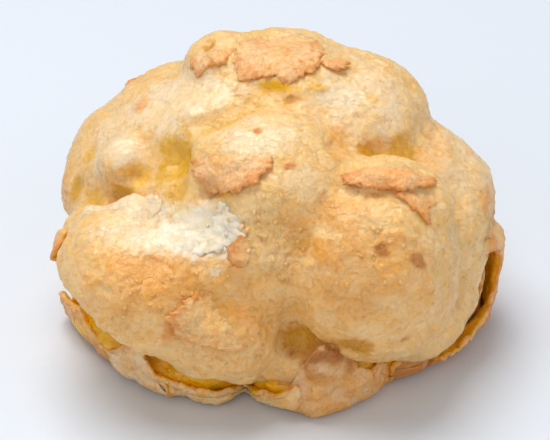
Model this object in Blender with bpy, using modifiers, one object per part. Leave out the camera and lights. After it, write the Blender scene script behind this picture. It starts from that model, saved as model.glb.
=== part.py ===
"""Cream puff: one shut choux bun, solid right through, standing on its flat underside.

A choux bun is a single piece of dough.  It rises as a cluster of round lobes that press
against each other, and the first crust cracks into plates that the lobes carry up.  A rim
of that crust stays behind round the foot, torn, and curls away from the body.

Units: metres.  +X is to the right, -Y is the front, +Z is up.  The origin is the centre
of the underside.
"""

import math
from collections import namedtuple

import bmesh
import bpy
from mathutils import Euler, Matrix, Vector, noise

MM = 0.001

# Driving sizes of the finished bun
WIDTH = 80.0 * MM
DEPTH = 72.5 * MM
HEIGHT = 54.0 * MM

# The skin that joins all lobes and lips
SKIN_VOXEL = 0.9 * MM
SOFTENING_ROUNDS = 2
TRIANGLES = 9600

BAKED_COLOUR = (0.78, 0.50, 0.20, 1.0)
BAKED_ROUGHNESS = 0.6

# A lobe is one swelling of dough: its centre and half sizes in mm, and its tilt in degrees
Lobe = namedtuple("Lobe", "centre radii tilt")
LEVEL = (0, 0, 0)

LOBES = {
    "heart": Lobe((-1, -3, 25), (29, 27.5, 20.5), LEVEL),
    "foot": Lobe((-1, -1, 4), (27, 25, 10), LEVEL),
    "crown": Lobe((-2.5, 4, 44), (16, 13, 9), (0, -4, 0)),
    "crown_side": Lobe((-11.5, 5, 47), (5, 7, 5.5), LEVEL),
    "right_dome": Lobe((11, 3, 39), (13.5, 15, 12), LEVEL),
    "left_shoulder": Lobe((-20.5, 5, 31.5), (20, 17, 12.5), (0, -36, 0)),
    "left_nape": Lobe((-31.5, 4, 25), (6.5, 9, 7), LEVEL),
    "shoulder_knob": Lobe((-27, -6.5, 35.5), (3, 3.2, 3.6), LEVEL),
    "centre": Lobe((-2, -14, 35.5), (15.5, 13, 12.5), LEVEL),
    "belly": Lobe((-4, -20, 25), (11, 12.5, 12), LEVEL),
    "right_cheek": Lobe((14.5, -21, 24), (15.5, 15, 17), LEVEL),
    "left_cheek": Lobe((-19, -20, 20.5), (20, 16, 13), (0, 28, 0)),
    "chin": Lobe((-9, -27, 16), (9.5, 8.5, 9.5), LEVEL),
    "between": Lobe((3, -22, 11), (9, 9, 9), LEVEL),
    "right_flank": Lobe((25.5, -2, 20), (13, 17, 17.5), LEVEL),
    "right_shoulder": Lobe((25, 4, 26), (9, 11, 8), LEVEL),
    "back_left": Lobe((-17, 18, 20), (17, 16, 16), LEVEL),
    "back_right": Lobe((14, 19, 22), (16, 17.5, 16), LEVEL),
    "back_middle": Lobe((-4, 20, 31), (13, 13, 11), LEVEL),
    "back_low": Lobe((0, 25, 15), (10, 10.5, 10), LEVEL),
    "left_flake": Lobe((-36, -6, 19), (5.2, 4, 2.2), (0, 10, 0)),
}
UNEVENNESS = 0.06  # share of its radius by which a lobe swells or sinks
SWELLINGS = 1.6  # waves of that unevenness for each radius

# A plate of the first crust stands a little proud of the dough, with a ragged edge.  A
# hollow is pressed in between lobes.  Both are places on the skin, in mm: the centre, the
# half sizes, and how far the skin is lifted there, or sunk where that is below zero.
Patch = namedtuple("Patch", "centre half_sizes lift")

CRUST_PLATES = {
    "crown": Patch((-2, -1, 52), (13.5, 9, 9), 0.9),
    "centre": Patch((-8.5, -22, 44), (7, 5, 4.5), 0.9),
    "centre_low": Patch((-7, -30, 33), (2.5, 4, 3.5), 0.9),
    "right": Patch((17, -24, 41), (8.5, 5, 5), 0.9),
    "chin": Patch((-9, -35, 18), (10, 6, 9), 0.8),
    "back_left": Patch((-20, 30, 30), (9, 8, 7), 0.9),
    "back_right": Patch((18, 32, 32), (8, 7, 6), 0.9),
    "back_top": Patch((-6, 26, 41), (7, 6, 6), 0.9),
    "right_side": Patch((36, -6, 22), (5, 6, 5), 0.7),
}
HOLLOWS = {
    "under_crown": Patch((1, -8, 48), (4.5, 3.5, 3), -1.6),
    "left_fold": Patch((-29, -15, 34), (7, 5, 3.5), -1.6),
    "beside_knob": Patch((-20, -9.5, 40), (3.5, 3, 3.5), -1.2),
    "between_cheeks": Patch((5, -32, 18), (5.5, 6, 4.5), -1.5),
    "under_centre": Patch((-15, -22, 37), (4, 4, 3.5), -1.2),
}
RAGGEDNESS = 0.35  # share of its half sizes by which a plate's edge wanders
RAGGED_WAVES = 0.35  # waves of the plate's edge for each mm
PLATE_EDGE = 0.15  # share of its half sizes over which a plate steps down to the dough

# A lip is one stretch of the torn rim round the foot.  Bearings run from the front towards
# the right, in degrees.  Its reach from the rim's centre goes from one value to the other,
# with a bulge between them.  Its edge stands at the low height with one peak, whose place
# and width are shares of the stretch.  Lean is how far it curls out.  Lengths are in mm.
Lip = namedtuple("Lip", "bearings reach bulge low high peak width lean")

LIPS = {
    "left": Lip((-108, -66), (36.5, 29.3), 0.8, 5, 7.5, 0.5, 0.4, 3),
    "front_left": Lip((-68, -14), (29.2, 22.5), 1.5, 4.5, 8, 0.2, 0.18, 1.5),
    "front": Lip((-12, 38), (22, 23.5), 5, 7.5, 15.5, 0.55, 0.16, 1),
    "front_right": Lip((36, 68), (23.5, 26), 0.5, 4, 6.5, 0.5, 0.3, 2),
    "right": Lip((66, 120), (26.5, 36), 5.3, 5, 13, 0.6, 0.35, 2.5),
    "right_inner": Lip((70, 108), (25, 33), 3, 4, 11, 0.6, 0.35, 2.5),
    "back_right": Lip((114, 152), (34, 31), 0, 5, 9, 0.4, 0.4, 2),
    "back": Lip((148, 190), (31, 32), 0, 4, 8, 0.6, 0.3, 2),
    "back_left": Lip((186, 226), (32, 33), 0, 5, 11, 0.4, 0.3, 3),
    "left_back": Lip((222, 256), (33, 35), 0, 4, 8, 0.5, 0.3, 2),
}
RIM_CENTRE = Vector((-1, -4, 0))
LIP_THICKNESS = 1.8 * MM
LIP_ROWS = 14
LIP_ROOT = 9.0  # mm, how far a lip runs in under the bun
LIP_ROUNDING = 4.0  # mm, radius where a lip turns up from the underside
LIP_RAGGEDNESS = 1.5  # mm, how unevenly its edge is torn
LIP_TEARS = 9  # waves of that unevenness along a stretch
LIP_END_HEIGHT = 0.5  # share of its height that a lip keeps at the ends of its stretch
LIP_END_RUN = 0.125  # share of the stretch over which it rises to its full height
LIP_UPRIGHT = 0.4  # share of its height that always stands upright above the turn
ROOT_END = 0.3  # share of a lip's width that lies flat
TURN_END = 0.65  # share of a lip's width at which it has turned upright


def clear_scene():
    for thing in list(bpy.data.objects):
        bpy.data.objects.remove(thing, do_unlink=True)


def new_collection(name):
    collection = bpy.data.collections.new(name)
    bpy.context.scene.collection.children.link(collection)
    return collection


def baked_dough():
    """Golden baked choux."""
    material = bpy.data.materials.new("baked_dough")
    material.use_nodes = True
    surface = material.node_tree.nodes["Principled BSDF"]
    surface.inputs["Base Color"].default_value = BAKED_COLOUR
    surface.inputs["Roughness"].default_value = BAKED_ROUGHNESS
    surface.inputs["Metallic"].default_value = 0.0
    return material


def add_lobe(mesh, lobe):
    """Adds one lobe: an ellipsoid, swollen a little unevenly."""
    turn = Euler([math.radians(angle) for angle in lobe.tilt]).to_matrix().to_4x4()
    place = Matrix.Translation(lobe.centre) @ turn @ Matrix.Diagonal((*lobe.radii, 1.0))
    made = bmesh.ops.create_icosphere(mesh, subdivisions=4, radius=1.0)
    for vertex in made["verts"]:
        swollen = 1 + UNEVENNESS * noise.noise(SWELLINGS * vertex.co + Vector(lobe.centre))
        vertex.co = (place @ (swollen * vertex.co)) * MM


def lip_point(lip, along, across):
    """A point of a lip in mm, with along from 0 to 1 round the foot, and across from 0
    at its root under the bun to 1 at its torn edge."""
    bearing = math.radians(lip.bearings[0] + along * (lip.bearings[1] - lip.bearings[0]))
    reach = lip.reach[0] + along * (lip.reach[1] - lip.reach[0])
    reach += lip.bulge * math.sin(math.pi * along)
    peak = math.exp(-(((along - lip.peak) / lip.width) ** 2))
    ragged = LIP_RAGGEDNESS * noise.noise(Vector((along * LIP_TEARS, lip.bearings[0], 0)))
    from_end = min(1.0, along / LIP_END_RUN, (1 - along) / LIP_END_RUN)
    taper = LIP_END_HEIGHT + (1 - LIP_END_HEIGHT) * from_end
    height = (lip.low + (lip.high - lip.low) * peak + ragged) * taper
    turn = min(LIP_ROUNDING, (1 - LIP_UPRIGHT) * height)
    if across < ROOT_END:
        out = reach - turn - LIP_ROOT * (1 - across / ROOT_END)
        up = 0
    elif across < TURN_END:
        angle = math.radians(90 * (across - ROOT_END) / (TURN_END - ROOT_END))
        out = reach - turn * (1 - math.sin(angle))
        up = turn * (1 - math.cos(angle))
    else:
        above = (across - TURN_END) / (1 - TURN_END)
        out = reach + lip.lean * above
        up = turn + (height - turn) * above
    return RIM_CENTRE + Vector((math.sin(bearing) * out, -math.cos(bearing) * out, up))


def add_lip(mesh, lip):
    """Adds one lip: a grid bent round the foot, then thickened."""
    sheet = bmesh.new()
    columns = int(lip.bearings[1] - lip.bearings[0]) // 2
    bmesh.ops.create_grid(sheet, x_segments=columns, y_segments=LIP_ROWS, size=0.5)
    for vertex in sheet.verts:
        vertex.co = lip_point(lip, vertex.co.x + 0.5, vertex.co.y + 0.5) * MM
    bmesh.ops.recalc_face_normals(sheet, faces=sheet.faces)
    bmesh.ops.solidify(sheet, geom=sheet.faces[:], thickness=LIP_THICKNESS)
    made = bpy.data.meshes.new("lip")
    sheet.to_mesh(made)
    sheet.free()
    mesh.from_mesh(made)
    bpy.data.meshes.remove(made)


def as_object(mesh, name, collection):
    """Puts a bmesh in a new object, and frees the bmesh."""
    data = bpy.data.meshes.new(name)
    mesh.to_mesh(data)
    mesh.free()
    thing = bpy.data.objects.new(name, data)
    collection.objects.link(thing)
    return thing


def taken_from(thing):
    """A bmesh of the object with its modifiers applied.  The object is removed."""
    graph = bpy.context.evaluated_depsgraph_get()
    mesh = bmesh.new()
    mesh.from_object(thing, graph)
    bpy.data.objects.remove(thing)
    return mesh


def one_skin(mesh, collection):
    """Joins all lobes and lips under one closed skin."""
    dough = as_object(mesh, "dough", collection)
    remesh = dough.modifiers.new("one_skin", "REMESH")
    remesh.mode = "VOXEL"
    remesh.voxel_size = SKIN_VOXEL
    soften = dough.modifiers.new("soften", "SMOOTH")
    soften.factor = 0.5
    soften.iterations = SOFTENING_ROUNDS
    return taken_from(dough)


def fewer_facets(mesh, collection):
    """Thins the skin out to the number of triangles wanted."""
    dough = as_object(mesh, "dough", collection)
    thin_out = dough.modifiers.new("fewer_facets", "DECIMATE")
    thin_out.ratio = TRIANGLES / (2 * len(dough.data.polygons))
    return taken_from(dough)


def smooth_step(value):
    value = max(0.0, min(1.0, value))
    return value * value * (3 - 2 * value)


def reach_of(patch, place):
    """Distance of a place in mm from a patch's centre, as a share of its half sizes."""
    offset = place - Vector(patch.centre)
    return Vector([offset[axis] / patch.half_sizes[axis] for axis in range(3)]).length


def lift_plates_and_press_hollows(mesh):
    """Moves the skin along its normals, out on the plates and in at the hollows."""
    mesh.normal_update()
    for vertex in mesh.verts:
        place = vertex.co / MM
        wander = RAGGEDNESS * noise.fractal(place * RAGGED_WAVES, 1.0, 2.0, 3)
        lift = 0
        for plate in CRUST_PLATES.values():
            inside = 1 + wander - reach_of(plate, place)
            lift = max(lift, plate.lift * smooth_step(inside / PLATE_EDGE))
        for hollow in HOLLOWS.values():
            lift += hollow.lift * smooth_step(1 - reach_of(hollow, place))
        vertex.co += vertex.normal * lift * MM


def cut_flat(mesh):
    """Cuts the underside flat at z = 0 and closes it with one face."""
    everything = mesh.verts[:] + mesh.edges[:] + mesh.faces[:]
    cut = bmesh.ops.bisect_plane(
        mesh, geom=everything, dist=1e-6, plane_co=(0, 0, 0), plane_no=(0, 0, 1), clear_inner=True
    )
    rim = [edge for edge in cut["geom_cut"] if isinstance(edge, bmesh.types.BMEdge)]
    bmesh.ops.holes_fill(mesh, edges=rim)


def fit_to_size(mesh):
    """Scales the bun to its driving sizes and centres it over the origin."""
    low = Vector([min(vertex.co[axis] for vertex in mesh.verts) for axis in range(3)])
    high = Vector([max(vertex.co[axis] for vertex in mesh.verts) for axis in range(3)])
    size = high - low
    scale = Matrix.Diagonal((WIDTH / size.x, DEPTH / size.y, HEIGHT / size.z))
    middle = Vector(((low.x + high.x) / 2, (low.y + high.y) / 2, low.z))
    for vertex in mesh.verts:
        vertex.co = scale @ (vertex.co - middle)


def main():
    clear_scene()
    cream_puff = new_collection("cream_puff")
    mesh = bmesh.new()
    for lobe in LOBES.values():
        add_lobe(mesh, lobe)
    for lip in LIPS.values():
        add_lip(mesh, lip)
    mesh = one_skin(mesh, cream_puff)
    lift_plates_and_press_hollows(mesh)
    mesh = fewer_facets(mesh, cream_puff)
    cut_flat(mesh)
    fit_to_size(mesh)
    bun = as_object(mesh, "choux_bun", cream_puff)
    bun.data.shade_smooth()
    bun.data.materials.append(baked_dough())


main()
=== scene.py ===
import math
from collections import namedtuple

import bmesh
import bpy
import numpy as np
from mathutils import Euler, Matrix, Vector, noise
from mathutils.bvhtree import BVHTree


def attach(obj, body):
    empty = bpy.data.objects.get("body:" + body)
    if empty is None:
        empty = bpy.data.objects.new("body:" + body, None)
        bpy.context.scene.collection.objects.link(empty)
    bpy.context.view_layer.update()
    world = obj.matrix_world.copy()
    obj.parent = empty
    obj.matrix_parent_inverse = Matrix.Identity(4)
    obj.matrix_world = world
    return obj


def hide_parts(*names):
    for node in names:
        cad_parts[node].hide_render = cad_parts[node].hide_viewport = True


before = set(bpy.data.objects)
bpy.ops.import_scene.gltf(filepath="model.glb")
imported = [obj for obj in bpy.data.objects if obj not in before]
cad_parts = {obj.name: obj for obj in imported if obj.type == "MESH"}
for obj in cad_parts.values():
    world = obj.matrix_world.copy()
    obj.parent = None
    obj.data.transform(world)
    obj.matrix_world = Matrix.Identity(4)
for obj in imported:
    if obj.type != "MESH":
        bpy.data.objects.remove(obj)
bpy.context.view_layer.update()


# --- Camera -----------------------------------------------------------------------------
# The bun is seen from the front and well above, through a long lens.
# The camera stands 55 cm off, and its field is a little wider than the bun.
camera_tilt = math.radians(32)
camera_distance = 0.55  # m
camera_lift = 0.0190  # m, from the bun's foot up to the middle of the view
field_width = 0.0968  # m across the view, at the bun
view_centre = Vector((-0.0009, -0.00385, 0.0))
camera_up = Vector((0, math.sin(camera_tilt), math.cos(camera_tilt)))
camera_back = Vector((0, -math.cos(camera_tilt), math.sin(camera_tilt)))

camera_data = bpy.data.cameras.new("camera")
camera_data.sensor_width = 36
camera_data.lens = camera_data.sensor_width * camera_distance / field_width
camera = bpy.data.objects.new("camera", camera_data)
bpy.context.scene.collection.objects.link(camera)
camera.location = view_centre + camera_up * camera_lift + camera_back * camera_distance
camera.rotation_mode = "QUATERNION"
camera.rotation_quaternion = (-camera_back).to_track_quat("-Z", "Y")
bpy.context.scene.camera = camera
bpy.context.scene.view_settings.view_transform = "Standard"


# --- Floor and light ----------------------------------------------------------------------
# A plain pale sheet under the bun, and three wide soft boxes: one overhead, a little behind
# and to the left, one in front and one at the right.  A dim pale sky lies all round.
FLOOR_COLOUR = (0.74, 0.79, 0.86, 1)
SKY_COLOUR = (0.93, 0.96, 1.0, 1)
SKY_STRENGTH = 0.33
LAMP_COLOUR = (1.0, 0.99, 0.98)
LAMP_AIM = Vector((0, 0, 0.03))

floor_mesh = bmesh.new()
bmesh.ops.create_grid(floor_mesh, x_segments=1, y_segments=1, size=3.0)
floor_data = bpy.data.meshes.new("floor")
floor_mesh.to_mesh(floor_data)
floor_mesh.free()
floor = bpy.data.objects.new("floor", floor_data)
bpy.context.scene.collection.objects.link(floor)
floor_paint = bpy.data.materials.new("floor_paint")
floor_paint.use_nodes = True
floor_shader = floor_paint.node_tree.nodes["Principled BSDF"]
floor_shader.inputs["Base Color"].default_value = FLOOR_COLOUR
floor_shader.inputs["Roughness"].default_value = 0.5
floor_data.materials.append(floor_paint)

sky = bpy.data.worlds.new("sky")
bpy.context.scene.world = sky
sky.use_nodes = True
sky_shader = sky.node_tree.nodes["Background"]
sky_shader.inputs["Color"].default_value = SKY_COLOUR
sky_shader.inputs["Strength"].default_value = SKY_STRENGTH


def soft_box(name, place, width, depth, power):
    """A lamp in a wide box that faces the middle of the bun, in metres and watts."""
    lamp_data = bpy.data.lights.new(name, "AREA")
    lamp_data.shape = "RECTANGLE"
    lamp_data.size = width
    lamp_data.size_y = depth
    lamp_data.energy = power
    lamp_data.color = LAMP_COLOUR
    lamp = bpy.data.objects.new(name, lamp_data)
    bpy.context.scene.collection.objects.link(lamp)
    lamp.location = place
    aim = LAMP_AIM - lamp.location
    lamp.rotation_mode = "QUATERNION"
    lamp.rotation_quaternion = aim.to_track_quat("-Z", "Y")


soft_box("overhead", (-0.10, 0.09, 0.60), 0.45, 0.35, 3.1)
soft_box("front", (-0.22, -0.65, 0.45), 1.2, 0.4, 1.8)
soft_box("side", (0.80, -0.25, 0.32), 0.6, 0.4, 1.2)


# --- The bun's dough ------------------------------------------------------------------------
# One piece of choux dough that rose as a cluster of round lobes pressed against each
# other.  The lobes are ellipsoids, swollen unevenly, under one fine skin.
MM = 0.001
Lobe = namedtuple("Lobe", "centre radii tilt")  # mm, mm and degrees
LEVEL = (0, 0, 0)
LOBES = {
    "heart": Lobe((-1, -3, 25), (29, 27.5, 20.5), LEVEL),
    "foot": Lobe((-1, 1, 4), (26, 24, 10), LEVEL),
    "crown": Lobe((0.2, 4, 44.5), (15.5, 12, 8.6), (0, -2, 0)),
    "crown_left": Lobe((-9.5, 5, 47.2), (7.2, 8, 6.3), LEVEL),
    "right_dome": Lobe((11.3, 3, 38), (14, 14.5, 11.8), LEVEL),
    "left_shoulder": Lobe((-20.3, 4.5, 31.2), (19.8, 16.5, 12.2), (0, -36, 0)),
    "shoulder_top": Lobe((-12, -2, 38.5), (12, 12, 9.5), (0, -20, 0)),
    "left_nape": Lobe((-31.3, 3, 27), (6.5, 9, 6), LEVEL),
    "shoulder_knob": Lobe((-26.5, -8, 36), (4.5, 4, 4.5), LEVEL),
    "centre": Lobe((-2, -14, 35.5), (15.5, 13, 12.5), LEVEL),
    "belly": Lobe((-4, -20, 25), (11, 12.5, 12), LEVEL),
    "right_cheek": Lobe((14.5, -21, 24), (15.5, 15, 17), LEVEL),
    "cheek_ridge": Lobe((18, -19, 35), (11, 9, 7.5), LEVEL),
    "left_cheek": Lobe((-19.2, -19.5, 20.3), (18.5, 16, 12.2), (0, 17, 0)),
    "cheek_back": Lobe((-28, -11, 23.2), (9, 9, 7), LEVEL),
    "left_cheek_top": Lobe((-11.5, -20.5, 26), (13.5, 12, 8.5), (0, 5, 0)),
    "chin": Lobe((-10, -27, 16), (11, 9, 10), LEVEL),
    "between": Lobe((3, -22, 11), (9, 9, 9), LEVEL),
    "right_flank": Lobe((24.5, -2, 21.5), (13.2, 17, 16.5), LEVEL),
    "flank_foot": Lobe((22.2, -6, 13.5), (14.2, 15, 11), LEVEL),
    "cheek_foot": Lobe((21, -17, 12), (11, 10, 8), LEVEL),
    "right_shoulder": Lobe((25, 4, 26), (9, 11, 8), LEVEL),
    "back_left": Lobe((-17, 18, 20), (17, 16, 16), LEVEL),
    "back_right": Lobe((13, 19, 20.5), (16, 17.5, 15.5), LEVEL),
    "back_middle": Lobe((-4, 20, 31), (13, 13, 11), LEVEL),
    "back_low": Lobe((0, 25, 15), (10, 10.5, 10), LEVEL),
}
UNEVENNESS = 0.06  # share of its radius by which a lobe swells or sinks
SWELLINGS = 1.6  # waves of that unevenness for each radius
ROUGH_VOXEL = 1.2 * MM
ROUGH_SOFTENING = 6
SKIN_VOXEL = 0.5 * MM
SKIN_SOFTENING = 5
FOOT_HEIGHT = 1.0 * MM  # of the flat underside; the lips' roots run in below it


def lobes_as_mesh(lobes):
    """Every lobe as a closed ellipsoid, in one bmesh."""
    mesh = bmesh.new()
    for lobe in lobes.values():
        turn = Euler([math.radians(angle) for angle in lobe.tilt]).to_matrix().to_4x4()
        place = Matrix.Translation(lobe.centre) @ turn @ Matrix.Diagonal((*lobe.radii, 1.0))
        made = bmesh.ops.create_icosphere(mesh, subdivisions=5, radius=1.0)
        for vertex in made["verts"]:
            swollen = 1 + UNEVENNESS * noise.noise(SWELLINGS * vertex.co + Vector(lobe.centre))
            vertex.co = (place @ (swollen * vertex.co)) * MM
    return mesh


def as_object(mesh, name):
    """Puts a bmesh in a new object, and frees the bmesh."""
    data = bpy.data.meshes.new(name)
    mesh.to_mesh(data)
    mesh.free()
    thing = bpy.data.objects.new(name, data)
    bpy.context.scene.collection.objects.link(thing)
    return thing


def one_skin(thing, voxel, rounds):
    """Gives the object one closed skin over all that it holds, and softens its creases."""
    remesh = thing.modifiers.new("one_skin", "REMESH")
    remesh.mode = "VOXEL"
    remesh.voxel_size = voxel
    soften = thing.modifiers.new("soften", "SMOOTH")
    soften.factor = 0.5
    soften.iterations = rounds
    graph = bpy.context.evaluated_depsgraph_get()
    made = bpy.data.meshes.new_from_object(thing.evaluated_get(graph))
    thing.modifiers.clear()
    thing.data = made


def cut_flat(thing, height):
    """Cuts off all that lies below a height, and closes the cut."""
    mesh = bmesh.new()
    mesh.from_mesh(thing.data)
    bmesh.ops.bisect_plane(
        mesh, geom=mesh.verts[:] + mesh.edges[:] + mesh.faces[:],
        plane_co=(0, 0, height), plane_no=(0, 0, 1), clear_inner=True,
    )
    rim = [edge for edge in mesh.edges if edge.is_boundary]
    bmesh.ops.holes_fill(mesh, edges=rim, sides=0)
    bmesh.ops.triangulate(mesh, faces=[face for face in mesh.faces if len(face.verts) > 4])
    mesh.to_mesh(thing.data)
    mesh.free()


bun = as_object(lobes_as_mesh(LOBES), "bun")
one_skin(bun, ROUGH_VOXEL, ROUGH_SOFTENING)
one_skin(bun, SKIN_VOXEL, SKIN_SOFTENING)
cut_flat(bun, FOOT_HEIGHT)

# The skin is worked over at the places listed, as a sculptor would.  A touch is a place on the
# skin with its half sizes and how far the skin is lifted there, or pressed in below zero, all in
# mm.
Touch = namedtuple("Touch", "centre half_sizes lift")

TOUCHES = {
    "valley_top": Touch((-11, -11, 45.5), (9, 4, 4), -0.7),
    "valley": Touch((-17, -14, 40.5), (4, 6, 4.5), -1.4),
    "valley_foot": Touch((-16.5, -19, 37.5), (3, 4, 4), -0.9),
    "under_knob": Touch((-23.9, -11.7, 36.2), (4, 3, 2.6), -1.1),
    "cheek_fold": Touch((-28, -13.5, 32), (7, 4, 2.6), -2.0),
    "beside_nape": Touch((-32.8, -2, 35.3), (2, 3, 3.5), -0.8),
    "nape_groove": Touch((-35, -4, 29), (2, 2, 4.5), -0.9),
    "crown_notch": Touch((-11.5, 3.5, 51), (2.4, 3, 2.2), -1.6),
    "under_crown": Touch((-1.2, -6, 49.2), (4, 2.4, 2), -1.0),
    "under_crown_right": Touch((1.2, -7.5, 48), (2.8, 2, 1.6), -1.0),
    "dome_valley": Touch((17, -11.5, 40.5), (6, 3.5, 3), -1.2),
    "dome_corner": Touch((8.5, -15, 43.8), (3, 4, 3.5), -0.8),
    "under_centre_crust": Touch((-13, -23.5, 40), (4.5, 3.5, 3.0), -2.2),
    "under_right_crust": Touch((15, -24.6, 40.8), (6.5, 3, 2.2), -1.4),
    "right_crust": Touch((18, -21.6, 42.6), (8, 4, 2.5), 0.9),
    "centre_crust": Touch((-8.4, -20.8, 45), (7, 4.5, 3.5), 0.9),
    "cheek_groove": Touch((4, -29, 33), (3, 4, 5), -0.8),
    "torn_trough": Touch((-4, -32, 28.6), (9, 3, 3), -0.8),
    "between_cheeks": Touch((3, -31, 14.5), (4.5, 5, 5), -2.2),
    "between_right": Touch((10, -33, 14.5), (4.5, 4, 3), -1.6),
    "under_flank": Touch((38, -6, 9), (8, 15, 12.5), -4.5),
    "under_left_cheek": Touch((-35, -25, 9.5), (14, 16, 15), -9.0),
    "chin_foot": Touch((-6, -29, 6), (7, 7, 4.5), 1.5),
    "under_chin": Touch((-16, -33, 4.5), (13, 9, 6), -4.2),
    "pore": Touch((20.6, -33, 17.1), (1.1, 1.1, 0.8), -0.9),
}
SWELL_LIFT = 0.7  # mm, how far the skin swells and sinks over the width of a lobe
TOUCH_WANDER = 0.25  # share of its size by which the outline of a touch wanders
HELD_HEIGHT = 3  # mm over the floor, below which the skin is held more and more


def smooth_step(values):
    """From 0 to 1 as the values do, with soft ends."""
    values = np.clip(values, 0, 1)
    return values * values * (3 - 2 * values)


def waves(places, per_mm, octaves, offset):
    """Smooth noise between about -1 and 1 at each place."""
    shift = Vector(offset)
    return np.array([noise.fractal(Vector(p) * per_mm + shift, 1.0, 2.0, octaves) for p in places])


def share_of(touch, places, wander, edge):
    """How much of a touch each place feels: 1 inside, 0 outside, with a soft edge."""
    offset = (places - np.array(touch.centre)) / np.array(touch.half_sizes)
    reach = np.sqrt((offset * offset).sum(1))
    return smooth_step((1 + wander - reach) / edge)


def places_of(thing):
    """The places of an object's vertices, in mm."""
    places = np.zeros(len(thing.data.vertices) * 3)
    thing.data.vertices.foreach_get("co", places)
    return places.reshape(-1, 3) / MM


def normals_of(thing):
    """Which way the skin faces at each vertex of an object."""
    normals = np.zeros(len(thing.data.vertices) * 3)
    thing.data.vertices.foreach_get("normal", normals)
    return normals.reshape(-1, 3)


def move_to(thing, places):
    """Moves an object's vertices to places in mm."""
    thing.data.vertices.foreach_set("co", (places * MM).ravel())
    thing.data.update()


places = places_of(bun)
normals = normals_of(bun)
wander_wide = waves(places, 0.22, 4, (3, 7, 1))
swell = waves(places, 0.11, 2, (0, 0, 0))
lift = SWELL_LIFT * swell
for touch in TOUCHES.values():
    lift += touch.lift * share_of(touch, places, TOUCH_WANDER * wander_wide, 1.0)
off_floor = smooth_step(places[:, 2] / HELD_HEIGHT)
move_to(bun, places + normals * (lift * off_floor)[:, None])
form = BVHTree.FromObject(bun, bpy.context.evaluated_depsgraph_get())

# The colours of baked dough, from torn crumb to burnt edge.  The umber and the amber are
# painted shade, and so is the gold where it is laid in creases, valleys and folds: gold and
# umber darken those, and amber is the shade in gaps, inside the lips and under crusts, glowing
# as light passes through thin dough.
TINTS = {
    "white": (0.92, 0.83, 0.68),
    "cream": (0.90, 0.72, 0.50),
    "straw": (0.92, 0.60, 0.26),
    "apricot": (0.96, 0.60, 0.32),
    "peach": (0.94, 0.44, 0.16),
    "honey": (0.85, 0.42, 0.10),
    "gold": (0.76, 0.42, 0.033),
    "amber_shade": (0.98, 0.51, 0.003),
    "shade_umber": (0.62, 0.26, 0.002),
    "rusk": (0.92, 0.60, 0.32),
    "biscuit": (0.80, 0.42, 0.14),
    "toast": (0.80, 0.31, 0.06),
    "brown": (0.62, 0.24, 0.05),
    "burnt": (0.46, 0.16, 0.02),
}
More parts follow.
